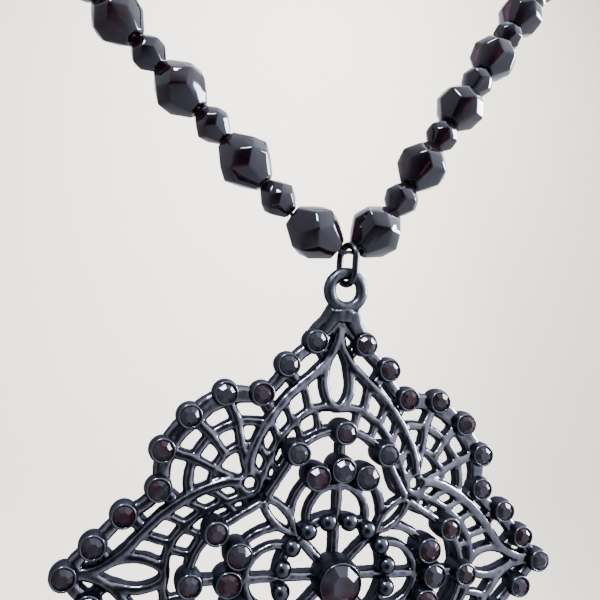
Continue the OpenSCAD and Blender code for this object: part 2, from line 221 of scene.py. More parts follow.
# Place, turn and size of each copy of an eighth, of a corner and of a half of the pendant
EIGHTHS = [((0, 0, 0), (0, 0, math.pi / 2 * quarter), (x, 1, 1)) for quarter in range(4) for x in (1, -1)]
CORNERS = [((0, 0, 0), (0, 0, 0), (x, y, 1)) for x in (1, -1) for y in (1, -1)]
HALVES = [((0, 0, 0), (0, 0, 0), (x, 1, 1)) for x in (1, -1)]


# Small helpers, in metres


def linear(colour):
    """An sRGB hex colour as linear red, green, blue and alpha."""
    parts = [int(colour[i:i + 2], 16) / 255 for i in (1, 3, 5)]
    return [c / 12.92 if c <= 0.04045 else ((c + 0.055) / 1.055) ** 2.4 for c in parts] + [1.0]


def add(tree, kind, inputs=None, **settings):
    """Adds a node with its settings, its inputs' values and its links. A node that is given as a
    value stands for its first output."""
    node = tree.nodes.new(kind)
    for name, value in settings.items():
        setattr(node, name, value)
    for key, value in (inputs or {}).items():
        if isinstance(value, bpy.types.Node):
            value = value.outputs[0]
        if isinstance(value, bpy.types.NodeSocket):
            tree.links.new(value, node.inputs[key])
        else:
            node.inputs[key].default_value = value
    return node


def new_object(name, data):
    """A new object in the scene."""
    made = bpy.data.objects.new(name, data)
    bpy.context.scene.collection.objects.link(made)
    return made


def from_bmesh(name, shape):
    """A new object of a bmesh, which is used up."""
    mesh = bpy.data.meshes.new(name)
    shape.to_mesh(mesh)
    shape.free()
    return new_object(name, mesh)


def drop(piece):
    """Removes a piece with its mesh."""
    mesh = piece.data
    bpy.data.objects.remove(piece)
    bpy.data.meshes.remove(mesh)


def plain(source, name):
    """The source object as its modifiers leave it, in a new object with a plain mesh."""
    graph = bpy.context.evaluated_depsgraph_get()
    mesh = bpy.data.meshes.new_from_object(source.evaluated_get(graph), depsgraph=graph)
    drop(source)
    mesh.name = name
    return new_object(name, mesh)


def join(name, pieces):
    """Joins pieces, which are used up, into one that still has no material."""
    joined = bmesh.new()
    for piece in pieces:
        joined.from_mesh(piece.data)
        drop(piece)
    return from_bmesh(name, joined)


def pendant_frame():
    """The matrix that takes the pendant's own frame, in metres, to the necklace's."""
    low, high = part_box("middle_stone")
    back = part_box("pendant_casting")[1].y
    turn = Matrix(((1, 0, 0, 0), (0, 0, -1, 0), (0, 1, 0, 0), (0, 0, 0, 1)))
    return Matrix.Translation(((low.x + high.x) / 2, back, (low.z + high.z) / 2)) @ turn


def finish(piece, material, body, slot, *nodes, place=None):
    """Gives a piece its material, place and body, and hides the nodes that it replaces. A piece of the
    pendant comes in the pendant's own frame. Its slot is not used."""
    mesh = piece.data
    if body == "pendant":
        place = pendant_frame()
    if place:
        mesh.transform(place)
    mesh.materials.clear()
    mesh.materials.append(material)
    mesh.polygons.foreach_set("material_index", [0] * len(mesh.polygons))
    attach(piece, body)
    if nodes:
        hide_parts(*nodes)


# Geometry Nodes: each function fills its tree from the group input on, and returns its last node


def put_copies(tree, start):
    """Puts a copy of a piece on each point, by the point's own turn and size."""
    piece = add(tree, "GeometryNodeObjectInfo", {"Object": start.outputs["Piece"]},
                transform_space="ORIGINAL")
    turn = add(tree, "GeometryNodeInputNamedAttribute", {"Name": "turn"}, data_type="FLOAT_VECTOR")
    size = add(tree, "GeometryNodeInputNamedAttribute", {"Name": "size"}, data_type="FLOAT_VECTOR")
    return add(tree, "GeometryNodeInstanceOnPoints", {
        "Points": start, "Instance": piece.outputs["Geometry"], "Rotation": turn, "Scale": size})


def sweep_wires(tree, start):
    """Sweeps a cast wire's section along each wire: rounded, deeper than wide and wider at its foot."""
    curve = add(tree, "GeometryNodeMeshToCurve", {"Mesh": start})
    smooth = add(tree, "GeometryNodeCurveSplineType", {"Curve": curve}, spline_type="CATMULL_ROM")
    fine = add(tree, "GeometryNodeSetSplineResolution", {
        "Geometry": smooth, "Resolution": start.outputs["Smoothing"]})
    upright = add(tree, "GeometryNodeSetCurveNormal", {"Curve": fine}, mode="Z_UP")
    width = add(tree, "GeometryNodeInputNamedAttribute", {"Name": "width"}, data_type="FLOAT")
    half = add(tree, "ShaderNodeMath", {0: width, 1: 0.5}, operation="MULTIPLY")
    # The section is drawn at twice the wire's size, and with its foot up, because a swept section comes
    # out upside down
    depth = start.outputs["Depth"]
    tall = add(tree, "ShaderNodeMath", {0: depth, 1: 2.0, 2: 2.0}, operation="MULTIPLY_ADD")
    broad = add(tree, "ShaderNodeMath", {0: start.outputs["Foot"], 1: 2.0}, operation="MULTIPLY")
    section = add(tree, "GeometryNodeCurvePrimitiveQuadrilateral", {
        "Height": tall, "Bottom Width": 1.75, "Top Width": broad, "Offset": 0.0}, mode="TRAPEZOID")
    sunk = add(tree, "ShaderNodeVectorMath", {0: (0, 1, 0), "Scale": depth}, operation="SCALE")
    lowered = add(tree, "GeometryNodeTransform", {"Geometry": section, "Translation": sunk})
    profile = add(tree, "GeometryNodeFilletCurve", {
        "Curve": lowered, "Count": 3, "Radius": start.outputs["Rounding"], "Limit Radius": True},
        mode="POLY")
    return add(tree, "GeometryNodeCurveToMesh", {
        "Curve": upright, "Profile Curve": profile, "Scale": half, "Fill Caps": True})


def push_skin(tree, start):
    """Pushes a skin in and out along its normals by smooth noise."""
    scale = add(tree, "ShaderNodeMath", {0: 1.0, 1: start.outputs["Size"]}, operation="DIVIDE")
    waves = add(tree, "ShaderNodeTexNoise", {
        "Vector": add(tree, "GeometryNodeInputPosition"), "Scale": scale, "Detail": 1.0})
    level = add(tree, "ShaderNodeMath", {0: waves, 1: 0.5}, operation="SUBTRACT")
    height = add(tree, "ShaderNodeMath", {0: level, 1: start.outputs["Height"]}, operation="MULTIPLY")
    offset = add(tree, "ShaderNodeVectorMath", {
        0: add(tree, "GeometryNodeInputNormal"), "Scale": height}, operation="SCALE")
    return add(tree, "GeometryNodeSetPosition", {"Geometry": start, "Offset": offset})


def lay_plies(tree, start):
    """Lays three plies round a path, in touch with one another, and turns them once in each lay."""
    path = add(tree, "GeometryNodeMeshToCurve", {"Mesh": start})
    smooth = add(tree, "GeometryNodeCurveSplineType", {"Curve": path}, spline_type="CATMULL_ROM")
    even = add(tree, "GeometryNodeResampleCurve", {"Curve": smooth, "Length": start.outputs["Step"]},
               mode="LENGTH")
    done = add(tree, "GeometryNodeSplineParameter").outputs["Length"]
    turns = add(tree, "ShaderNodeMath", {0: done, 1: start.outputs["Lay"]}, operation="DIVIDE")
    # A ply's own radius is 0.232 of the thread's width, and its middle lies 0.268 of it from the path
    ply = add(tree, "ShaderNodeMath", {0: start.outputs["Width"], 1: 0.232}, operation="MULTIPLY")
    reach = add(tree, "ShaderNodeMath", {0: start.outputs["Width"], 1: 0.268}, operation="MULTIPLY")
    profile = add(tree, "GeometryNodeCurvePrimitiveCircle", {"Resolution": 5, "Radius": ply})
    joined = add(tree, "GeometryNodeJoinGeometry")
    for k in range(3):
        angle = add(tree, "ShaderNodeMath", {0: turns, 1: 2 * math.pi, 2: 2 * math.pi * k / 3},
                    operation="MULTIPLY_ADD")
        aside = add(tree, "ShaderNodeVectorRotate", {
            "Vector": add(tree, "GeometryNodeInputNormal"), "Axis": add(tree, "GeometryNodeInputTangent"),
            "Angle": angle})
        shift = add(tree, "ShaderNodeVectorMath", {0: aside, "Scale": reach}, operation="SCALE")
        laid = add(tree, "GeometryNodeSetPosition", {"Geometry": even, "Offset": shift})
        swept = add(tree, "GeometryNodeCurveToMesh", {
            "Curve": laid, "Profile Curve": profile, "Fill Caps": True})
        tree.links.new(swept.outputs["Mesh"], joined.inputs["Geometry"])
    return joined


# Each tree's function, and its own inputs with their kinds
TREES = {
    "Copies": (put_copies, {"Piece": "Object"}),
    "Wires": (sweep_wires, {"Depth": "Float", "Foot": "Float", "Rounding": "Float", "Smoothing": "Int"}),
    "Uneven": (push_skin, {"Height": "Float", "Size": "Float"}),
    "Twist": (lay_plies, {"Width": "Float", "Lay": "Float", "Step": "Float"}),
}


def node_tree(name):
    """A Geometry Nodes tree, built when it is first used. It ends in Realize Instances and Set Material."""
    tree = bpy.data.node_groups.get(name)
    if tree:
        return tree
    tree = bpy.data.node_groups.new(name, "GeometryNodeTree")
    fill, inputs = TREES[name]
    for way in ("INPUT", "OUTPUT"):
        tree.interface.new_socket("Geometry", in_out=way, socket_type="NodeSocketGeometry")
    for label, kind in {**inputs, "Material": "Material"}.items():
        tree.interface.new_socket(label, in_out="INPUT", socket_type="NodeSocket" + kind)
    start = add(tree, "NodeGroupInput")
    real = add(tree, "GeometryNodeRealizeInstances", {"Geometry": fill(tree, start)})
    coated = add(tree, "GeometryNodeSetMaterial", {"Geometry": real, "Material": start.outputs["Material"]})
    add(tree, "NodeGroupOutput", {"Geometry": coated})
    return tree


def run_nodes(source, tree_name, name, values):
    """Runs a Geometry Nodes tree on an object, and returns the result as a plain object."""
    modifier = source.modifiers.new(tree_name, "NODES")
    modifier.node_group = node_tree(tree_name)
    for item in modifier.node_group.interface.items_tree:
        if item.in_out == "INPUT" and item.name in values:
            modifier[item.identifier] = values[item.name]
    return plain(source, name)


def copies(name, piece, places, material):
    """Copies of a piece, which is used up, as one plain object. Each has a place, a turn and a size."""
    mesh = bpy.data.meshes.new(name)
    mesh.from_pydata([tuple(p[0]) for p in places], [], [])
    for label, index in (("turn", 1), ("size", 2)):
        values = mesh.attributes.new(label, "FLOAT_VECTOR", "POINT")
        values.data.foreach_set("vector", [c for p in places for c in p[index]])
    made = run_nodes(new_object(name, mesh), "Copies", name, {"Piece": piece, "Material": material})
    drop(piece)
    return made


def wires(name, rows, places, settings, material, depth, top):
    """Wires swept along the rows' points and copied to the places: top gives the height of their
    upper side, and depth makes them deeper. Copies that are mirrored inside out are for fuse to mend."""
    points, edges, widths = [], [], []
    for width, lift, path in rows:
        start = len(points)
        width *= settings.fullness
        points += [(x * MM, y * MM, (top(x, y) + lift - width / 2) * MM) for x, y in path]
        widths += [width * MM] * len(path)
        edges += [(i, i + 1) for i in range(start, len(points) - 1)]
    mesh = bpy.data.meshes.new(name)
    mesh.from_pydata(points, edges, [])
    mesh.attributes.new("width", "FLOAT", "POINT").data.foreach_set("value", widths)
    swept = run_nodes(new_object(name, mesh), "Wires", name, {
        "Depth": depth, "Foot": settings.foot, "Rounding": settings.rounding,
        "Smoothing": settings.smoothing, "Material": material})
    return copies(name, swept, places, material)


def fuse(name, pieces, material, voxel, rounds, limit=MOST_TRIANGLES, uneven=0.2 * MM):
    """Fuses crossing solids into one skin, a little uneven as cast, and softens its corners."""
    piece = join(name, pieces)
    remesh = piece.modifiers.new("Fuse", "REMESH")
    remesh.mode = "VOXEL"
    remesh.voxel_size = voxel
    remesh.use_smooth_shade = True
    soften = piece.modifiers.new("Soften", "SMOOTH")
    soften.factor = 0.5
    soften.iterations = rounds
    fused = run_nodes(piece, "Uneven", name, {"Height": uneven, "Size": 1.2 * MM, "Material": material})
    triangles = 2 * len(fused.data.polygons)
    if triangles > limit:
        thin = fused.modifiers.new("Thin", "DECIMATE")
        thin.ratio = limit / triangles
        fused = plain(fused, name)
    fused.data.shade_smooth()
    return fused


# Solids


def lathe(name, profile, sides):
    """A solid turned about Z from (radius, height) pairs that run from its foot to its top."""
    shape = bmesh.new()
    angles = [2 * math.pi * k / sides for k in range(sides)]
    rings = []
    for radius, height in profile:
        rings.append([shape.verts.new((radius * math.cos(a), radius * math.sin(a), height))
                      for a in (angles if radius else [0])])
    for low, high in zip(rings, rings[1:]):
        for k in range(sides):
            m = (k + 1) % sides
            if len(low) == 1:
                corners = (low[0], high[m], high[k])
            elif len(high) == 1:
                corners = (low[k], low[m], high[0])
            else:
                corners = (low[k], low[m], high[m], high[k])
            shape.faces.new(corners).smooth = True
    return from_bmesh(name, shape)


def oval_wire(name, half_w, half_h, wire, sides=16, steps=96):
    """A closed ring of round wire in the plane of X and Z, straight at its sides where it is tall."""
    shape = bmesh.new()
    straight = half_h - half_w
    rings = []
    for i in range(steps):
        a = 2 * math.pi * i / steps
        shift = straight if math.sin(a) >= 0 else -straight
        out, front = Vector((math.cos(a), 0, math.sin(a))), Vector((0, 1, 0))
        middle = Vector((half_w * math.cos(a), 0, half_w * math.sin(a) + shift))
        rings.append([shape.verts.new(middle + wire / 2 * (out * math.cos(b) + front * math.sin(b)))
                      for b in (2 * math.pi * k / sides for k in range(sides))])
    for i in range(steps):
        for k in range(sides):
            j, m = (i + 1) % steps, (k + 1) % sides
            shape.faces.new((rings[i][k], rings[j][k], rings[j][m], rings[i][m])).smooth = True
    bmesh.ops.recalc_face_normals(shape, faces=shape.faces)
    return from_bmesh(name, shape)


def facet(around, slope, radius, height):
    """A plane turned round Z, whose normal leans from Z by its slope, through a radius at a height."""
    normal = (math.cos(around) * math.sin(slope), math.sin(around) * math.sin(slope), math.cos(slope))
    return normal, radius * math.sin(slope) + height * math.cos(slope)


def cut_solid(planes):
    """A solid cut by flat facets: a bmesh of what lies under all planes, (normal, distance)."""
    normals = np.array([p[0] for p in planes], float)
    normals /= np.linalg.norm(normals, axis=1)[:, None]
    distances = np.array([p[1] for p in planes], float)
    reach = distances.max()
    corners = []
    for trio in combinations(range(len(planes)), 3):
        three = normals[list(trio)]
        if abs(np.linalg.det(three)) < 1e-6:
            continue
        corner = np.linalg.solve(three, distances[list(trio)])
        if (normals @ corner <= distances + 1e-6 * reach).all():
            if all(np.abs(corner - c).max() > 1e-4 * reach for c in corners):
                corners.append(corner)
    shape = bmesh.new()
    for corner in corners:
        shape.verts.new(corner)
    bmesh.ops.convex_hull(shape, input=shape.verts)
    bmesh.ops.dissolve_limit(shape, angle_limit=math.radians(0.5), verts=shape.verts, edges=shape.edges)
    bmesh.ops.recalc_face_normals(shape, faces=shape.faces)
    return shape


# Materials. A pattern's Scale is 1 over the size of its blots, and inputs 1 to 4 of a Map Range are
# the range that it reads and the range that it gives.


def new_material(name):
    """A material, its emptied node tree and its Object coordinates."""
    material = bpy.data.materials.new(name)
    material.use_nodes = True
    tree = material.node_tree
    tree.nodes.clear()
    return material, tree, add(tree, "ShaderNodeTexCoord").outputs["Object"]


def fire_polished_glass(settings):
    """Pressed black glass, cut and fire-polished: its facets are mirrors with slightly melted
    surfaces, and where light gets through it glows a dark garnet."""
    material, tree, where = new_material("Fire-polished black glass")
    blots = add(tree, "ShaderNodeTexNoise", {"Vector": where, "Scale": 1 / (2.2 * MM), "Detail": 1.0})
    deep = add(tree, "ShaderNodeMapRange", {0: blots, 1: 0.35, 2: 0.65})
    colour = add(tree, "ShaderNodeMix", {0: deep, 6: settings.glass, 7: settings.glass_deep},
                 data_type="RGBA")
    haze = add(tree, "ShaderNodeTexNoise", {"Vector": where, "Scale": 1 / (0.6 * MM)})
    rough = add(tree, "ShaderNodeMapRange", {0: haze, 1: 0.4, 2: 0.75, 3: 0.03, 4: 0.09})
    # The melt waves of a facet, a little over a millimetre long
    waves = add(tree, "ShaderNodeTexNoise", {"Vector": where, "Scale": 1 / (1.4 * MM), "Detail": 1.0})
    melted = add(tree, "ShaderNodeBump", {"Height": waves, "Strength": 0.25, "Distance": 0.08 * MM})
    shader = add(tree, "ShaderNodeBsdfPrincipled", {
        "Base Color": colour.outputs[2], "Roughness": rough, "Normal": melted, "IOR": 1.62,
        "Transmission Weight": 0.5, "Specular Tint": (0.78, 0.87, 1.0, 1)})
    add(tree, "ShaderNodeOutputMaterial", {"Surface": shader})
    return material


def garnet_glass(settings):
    """Cut glass stones of a very dark garnet, polished, with foil behind them that makes their
    facets shine a little like metal."""
    material, tree, where = new_material("Dark garnet glass")
    blots = add(tree, "ShaderNodeTexNoise", {"Vector": where, "Scale": 1 / (2.5 * MM), "Detail": 1.0})
    deep = add(tree, "ShaderNodeMapRange", {0: blots, 1: 0.4, 2: 0.6})
    colour = add(tree, "ShaderNodeMix", {0: deep, 6: settings.stone, 7: settings.stone_deep},
                 data_type="RGBA")
    haze = add(tree, "ShaderNodeTexNoise", {"Vector": where, "Scale": 1 / (0.4 * MM)})
    rough = add(tree, "ShaderNodeMapRange", {0: haze, 1: 0.4, 2: 0.75, 3: 0.03, 4: 0.12})
    waves = add(tree, "ShaderNodeTexNoise", {"Vector": where, "Scale": 1 / (0.7 * MM), "Detail": 1.0})
    polished = add(tree, "ShaderNodeBump", {"Height": waves, "Strength": 0.2, "Distance": 0.04 * MM})
    shader = add(tree, "ShaderNodeBsdfPrincipled", {
        "Base Color": colour.outputs[2], "Roughness": rough, "Normal": polished, "IOR": 1.56,
        "Metallic": 0.5})
    add(tree, "ShaderNodeOutputMaterial", {"Surface": shader})
    return material


def black_nickel(name, hollows, ridges, rough, grain, front=None):
    """Black nickel plate on cast zinc alloy: dark grey with a cool tint, with a painted highlight on its
    ridges and painted shade in its hollows, and the fine ripple of a casting under the plate. A piece
    with a front is polished there, less so on its back; the walls of its gaps are dull, with painted
    shade that keeps them near black and darkens its back too."""
    material, tree, where = new_material(name)
    # Painted highlight and shade: lighter on the ridges and darker in the hollows, by the skin's pointiness;
    # stains blotch the lighter part at random
    edges = add(tree, "ShaderNodeNewGeometry").outputs["Pointiness"]
    ridge = add(tree, "ShaderNodeMapRange", {0: edges, 1: 0.46, 2: 0.52})
    blots = add(tree, "ShaderNodeTexNoise", {"Vector": where, "Scale": 1 / (1.8 * MM)})
    stain = add(tree, "ShaderNodeMapRange", {0: blots, 1: 0.35, 2: 0.7, 4: 0.35})
    painted_light_and_stain = add(tree, "ShaderNodeMath", {0: ridge, 1: stain}, operation="SUBTRACT", use_clamp=True)
    haze = add(tree, "ShaderNodeTexNoise", {"Vector": where, "Scale": 1 / (0.5 * MM)})
    dull = add(tree, "ShaderNodeMapRange", {0: haze, 1: 0.35, 2: 0.7, 3: rough, 4: rough + 0.12})
    # Painted shade on the walls of the gaps, which face aside, and less on the back, which are also made
    # duller
    if front is not None:
        normal = add(tree, "ShaderNodeTexCoord").outputs["Normal"]
        depth = add(tree, "ShaderNodeSeparateXYZ", {0: normal}).outputs["Y"]
        behind = add(tree, "ShaderNodeMapRange", {0: depth, 1: front, 2: front + 0.6})
        back = add(tree, "ShaderNodeMapRange", {0: depth, 1: 0.3, 2: 0.95, 4: 0.55})
        walls = add(tree, "ShaderNodeMath", {0: behind, 1: back}, operation="SUBTRACT")
        painted_light_and_stain = add(tree, "ShaderNodeMath", {0: painted_light_and_stain, 1: walls}, operation="SUBTRACT", use_clamp=True)
        dull = add(tree, "ShaderNodeMath", {0: walls, 1: 0.3, 2: dull}, operation="MULTIPLY_ADD")
    # The painted shade's colour in the hollows and on the walls, and the painted highlight's colour on the
    # ridges
    colour = add(tree, "ShaderNodeMix", {0: painted_light_and_stain, 6: hollows, 7: ridges}, data_type="RGBA")
    # The cast skin's ripple, about half a millimetre, drawn coarser than the real grain so it shows
    ripple = add(tree, "ShaderNodeTexNoise", {"Vector": where, "Scale": 1 / (0.55 * MM), "Detail": 3.0})
    cast = add(tree, "ShaderNodeBump", {"Height": ripple, "Strength": grain, "Distance": 0.06 * MM})
    # The black plate stays dark at a glancing angle too, by its tint
    shader = add(tree, "ShaderNodeBsdfPrincipled", {
        "Base Color": colour.outputs[2], "Roughness": dull, "Normal": cast, "Metallic": 1.0,
        "Specular Tint": (0.45, 0.45, 0.49, 1)})
    add(tree, "ShaderNodeOutputMaterial", {"Surface": shader})
    return material


def cast_metal(settings):
    """The metal of the net and of the rosette's rods, made once."""
    name = "Black nickel plated casting"
    return bpy.data.materials.get(name) or black_nickel(
        name, settings.hollows, settings.ridges, 0.12, 0.3, -0.65)


def bead_thread():
    """Black twisted nylon bead thread, with a slight sheen."""
    material, tree, where = new_material("Twisted nylon thread")
    fibres = add(tree, "ShaderNodeTexNoise", {"Vector": where, "Scale": 1 / (0.08 * MM), "Detail": 3.0})
    colour = add(tree, "ShaderNodeMix", {0: fibres, 6: linear("#0b090b"), 7: linear("#2a262a")},
                 data_type="RGBA")
    rough = add(tree, "ShaderNodeBump", {"Height": fibres, "Strength": 0.4, "Distance": 0.02 * MM})
    shader = add(tree, "ShaderNodeBsdfPrincipled", {
        "Base Color": colour.outputs[2], "Normal": rough, "Roughness": 0.62, "Sheen Weight": 0.3})
    add(tree, "ShaderNodeOutputMaterial", {"Surface": shader})
    return material


def studio_paper(colour):
    """Matt pale studio paper, a little uneven in tone."""
    material, tree, where = new_material("Studio paper")
    tone = add(tree, "ShaderNodeTexNoise", {"Vector": where, "Scale": 1 / (40 * MM)})
    share = add(tree, "ShaderNodeMapRange", {0: tone, 1: 0.3, 2: 0.7, 4: 0.06})
    mixed = add(tree, "ShaderNodeMix", {0: share, 6: colour, 7: linear("#d8d2c6")}, data_type="RGBA")
    shader = add(tree, "ShaderNodeBsdfPrincipled", {"Base Color": mixed.outputs[2], "Roughness": 0.9})
    add(tree, "ShaderNodeOutputMaterial", {"Surface": shader})
    return material


# Settings

LENGTH = {"unit": "LENGTH", "precision": 5}
COLOUR = {"subtype": "COLOR", "size": 4, "min": 0, "max": 1}


class BeadSettings(bpy.types.PropertyGroup):
    """Sizes and colours of the beads and their thread."""

    round_off: bpy.props.FloatProperty(
        name="Edge rounding", description="How far fire polishing rounds the edges between facets",
        default=0.0002, min=0.00002, max=0.0004, **LENGTH)
    swell: bpy.props.FloatProperty(
        name="Swell", description="How far fire polishing swells a facet's middle",
        default=0.00014, min=0, max=0.0003, **LENGTH)
    stretch: bpy.props.FloatProperty(
        name="Stretch", description="Length of a bead over its solid's, so that neighbours nearly touch",
        default=1.03, min=1.0, max=1.04)
    thread: bpy.props.FloatProperty(
        name="Thread", description="Width of the thread", default=0.00045, min=0.0003, max=0.0006, **LENGTH)
    lay: bpy.props.FloatProperty(
        name="Lay", description="Length of thread in which its plies turn once",
        default=0.0011, min=0.0006, max=0.003, **LENGTH)
    glass: bpy.props.FloatVectorProperty(
        name="Glass", description="Colour of the glass where light gets through it",
        default=linear("#1b060c"), **COLOUR)
    glass_deep: bpy.props.FloatVectorProperty(
        name="Deep glass", description="Colour of the glass in its darker parts",
        default=linear("#0a0508"), **COLOUR)


class StoneSettings(bpy.types.PropertyGroup):
    """Sizes and colours of the stones."""

    table: bpy.props.FloatProperty(
        name="Table", description="Width of a stone's table, of the stone's own width",
        default=0.52, min=0.4, max=0.65)
    tilt: bpy.props.FloatProperty(
        name="Tilt", description="How far a stone sits out of level in its cup",
        default=math.radians(3), min=0, max=math.radians(6), unit="ROTATION")
    stone: bpy.props.FloatVectorProperty(
        name="Stone", description="Colour of the stones", default=linear("#2c2c35"), **COLOUR)
    stone_deep: bpy.props.FloatVectorProperty(
        name="Deep stone", description="Colour of the stones' darker parts",
        default=linear("#26121b"), **COLOUR)


class CastingSettings(bpy.types.PropertyGroup):
    """Sizes and colours of the cast metal."""

    depth: bpy.props.FloatProperty(
        name="Depth", description="How much deeper than wide the net's wires are, of their width",
        default=0.45, min=0.2, max=1.0)
    foot: bpy.props.FloatProperty(
        name="Foot", description="Width of a wire's foot over its own width", default=1.2, min=0.8, max=1.4)
    fullness: bpy.props.FloatProperty(
        name="Fullness", description="Width of the wires over their drawn width",
        default=1.32, min=0.8, max=1.5)
    rounding: bpy.props.FloatProperty(
        name="Rounding", description="Rounding of a wire's corners, of half its width",
        default=0.7, min=0.3, max=0.95)
    smoothing: bpy.props.IntProperty(
        name="Smoothing", description="Steps between two points of a wire", default=5, min=1, max=12)
    voxel: bpy.props.FloatProperty(
        name="Voxel", description="Fineness of the fused skin",
        default=0.00014, min=0.0001, max=0.0004, **LENGTH)
    rounds: bpy.props.IntProperty(
        name="Softening", description="Rounds of softening after the wires are fused",
        default=5, min=0, max=20)
    # The colours of the painted shade in the metal's hollows and of the painted highlight on its ridges
    hollows: bpy.props.FloatVectorProperty(
        name="Hollows", description="Colour of the metal in its hollows",
        default=linear("#37373f"), **COLOUR)
    ridges: bpy.props.FloatVectorProperty(
        name="Ridges", description="Colour of the metal on its polished ridges",
        default=linear("#73737c"), **COLOUR)


class StageSettings(bpy.types.PropertyGroup):
    """Colours and lights of the studio."""

    paper: bpy.props.FloatVectorProperty(
        name="Paper", description="Colour of the floor and the backdrop",
        default=linear("#f2ecdf"), **COLOUR)
    daylight: bpy.props.FloatProperty(
        name="Daylight", description="Strength of the light from all sides", default=3.4, min=0, max=5)
    window: bpy.props.FloatProperty(
        name="Window", description="Power of the main soft light", default=9.5, min=0, max=50, unit="POWER")


# The strand


def bead_axes(node):
    """Middle, axis, direction of a corner, width and length of each bead of a CAD node, in metres."""
    shape = bmesh.new()
    shape.from_mesh(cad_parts[node].data)
    bmesh.ops.remove_doubles(shape, verts=shape.verts, dist=1e-7)
    left = set(shape.verts)
    found = []
    while left:
        island, fresh = set(), [left.pop()]
        while fresh:
            vert = fresh.pop()
            island.add(vert)
            for edge in vert.link_edges:
                other = edge.other_vert(vert)
                if other in left:
                    left.discard(other)
                    fresh.append(other)
        points = np.unique(np.round(np.array([v.co for v in island]), 8), axis=0)
        centre = (points.max(0) + points.min(0)) / 2
        found.append((centre, points - centre))
    shape.free()
    beads = []
    for centre, points in found:
        reach = np.linalg.norm(points, axis=1)
        large = reach.max() * 4 > (LARGE_BEAD[0] + SMALL_BEAD[0]) * MM
        width, length = LARGE_BEAD if large else SMALL_BEAD
        # The rims of the bore lie on the bead's axis
        rim = points[np.abs(reach - math.hypot(BORE / 2, length / 2) * MM) < 0.006 * MM]
        axis = rim[rim @ rim[0] > 0].mean(0)
        axis /= np.linalg.norm(axis)
        # Of the six points furthest out, the one nearest to the bead's equator
        out = points[reach.argsort()[-6:]]
        corner = out[np.abs(out @ axis).argmin()]
        corner = corner - (corner @ axis) * axis
        corner /= np.linalg.norm(corner)
        beads.append((centre, axis, corner, width * MM, length * MM))
    # The islands come in no fixed order
    return sorted(beads, key=lambda bead: tuple(bead[0]))


def bead_mesh(settings):
    """One large bead along Z, with a corner towards X."""
    width, length = LARGE_BEAD[0] * MM, LARGE_BEAD[1] * MM * settings.stretch
    planes = []
    for k in range(6):
        a, side = math.radians(60 * k), math.radians(60 * k + 30)
        # A facet of the belt, and the two that slope from just inside its corner to the bead's ends
        planes.append(facet(side, math.pi / 2, width / 2 * math.cos(math.radians(30)), 0))
        planes += [facet(a, math.radians(slope), 0.98 * width / 2, 0) for slope in (57, 180 - 57)]
    planes += [((0, 0, 1), length / 2), ((0, 0, -1), length / 2)]
    shape = cut_solid(planes)
    bmesh.ops.bevel(shape, geom=shape.edges[:], offset=settings.round_off, segments=2, profile=0.5,
                    affect="EDGES", clamp_overlap=True)
    # The bore runs from a hollow in one end to one in the other
    ends = [f for f in shape.faces if abs(f.normal.z) > 0.999 and f.calc_area() > (0.8 * MM) ** 2]
    bmesh.ops.inset_individual(shape, faces=ends, thickness=0.28 * MM, depth=-0.2 * MM,
                               use_even_offset=True)
    rims = [e for f in ends for e in f.edges]
    bmesh.ops.delete(shape, geom=ends, context="FACES_ONLY")
    bmesh.ops.bridge_loops(shape, edges=rims)
    bmesh.ops.recalc_face_normals(shape, faces=shape.faces)
    for face in shape.faces:
        face.smooth = True
    # Every facet swells, but not the ends, the rounded edges and the bore
    facets = [f for f in shape.faces if abs(f.normal.z) < 0.99 and f.calc_area() > (1.2 * MM) ** 2
              and f.calc_center_median().xy.length > 1.2 * MM]
    bmesh.ops.poke(shape, faces=facets, offset=settings.swell, center_mode="MEAN_WEIGHTED")
    return from_bmesh("bead", shape)


class NECKLACE_OT_beads(bpy.types.Operator):
    """Makes the two strings of beads"""

    bl_idname = "necklace.beads"
    bl_label = "Beads"

    def execute(self, context):
        settings = context.scene.necklace_beads
        glass = fire_polished_glass(settings)
        for side in ("left", "right"):
            places = []
            for centre, axis, corner, width, length in bead_axes("beads_" + side):
                turn = Matrix((corner, np.cross(axis, corner), axis)).transposed().to_euler()
                size = (width / LARGE_BEAD[0] / MM,) * 2 + (length / LARGE_BEAD[1] / MM,)
                places.append((centre, turn, size))
            beads = copies("glass_beads_" + side, bead_mesh(settings), places, glass)
            beads.modifiers.new("Flat facets", "WEIGHTED_NORMAL").weight = 80
            beads = plain(beads, beads.name)
            finish(beads, glass, "strand", "bead_glass", "beads_" + side)
        return {"FINISHED"}


def thread_side(side, start):
    """Points of the thread through one side's beads, in their order from the start to the clasp."""
    left = [(Vector(centre), Vector(axis) * length / 2)
            for centre, axis, _, _, length in bead_axes("beads_" + side)]
    here, points = Vector(start), []
    while left:
        bead = min(left, key=lambda b: (b[0] - here).length)
        left.remove(bead)
        centre, half = bead
        if (centre - half - here).length > (centre + half - here).length:
            half = -half
        points += [centre - half, centre + half]
        here = centre
    return points


